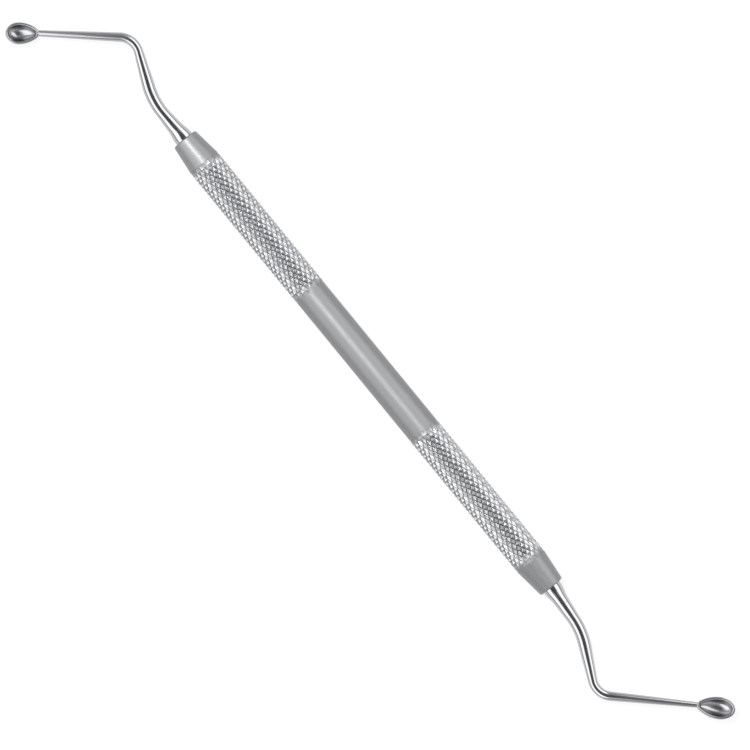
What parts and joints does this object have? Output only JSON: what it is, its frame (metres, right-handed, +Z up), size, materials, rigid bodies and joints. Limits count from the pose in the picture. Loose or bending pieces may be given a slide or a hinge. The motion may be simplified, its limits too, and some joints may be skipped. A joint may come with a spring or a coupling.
{
  "type": "bone curette",
  "caption": "Slim double-ended bone curette: a knurled straight handle with a tapering bent shank and an oval spoon at each end.",
  "frame": {"origin": "on the table under the middle of the whole instrument, as it comes to rest", "axes": "+X along the handle, +Y across it towards the right arm, +Z up, the way both spoons open but for 8.3 degrees of roll about the handle, with the side of the left spoon on the table"},
  "size_m": [0.1746, 0.0247, 0.0062],
  "materials": {
    "satin_steel": "satin, turned, with rolled diamond knurling",
    "polished_steel": "mirror polished"
  },
  "bodies": {
    "root": {"handle": "satin_steel", "working_end_left": "polished_steel", "working_end_right": "polished_steel"}
  },
  "joints": []
}
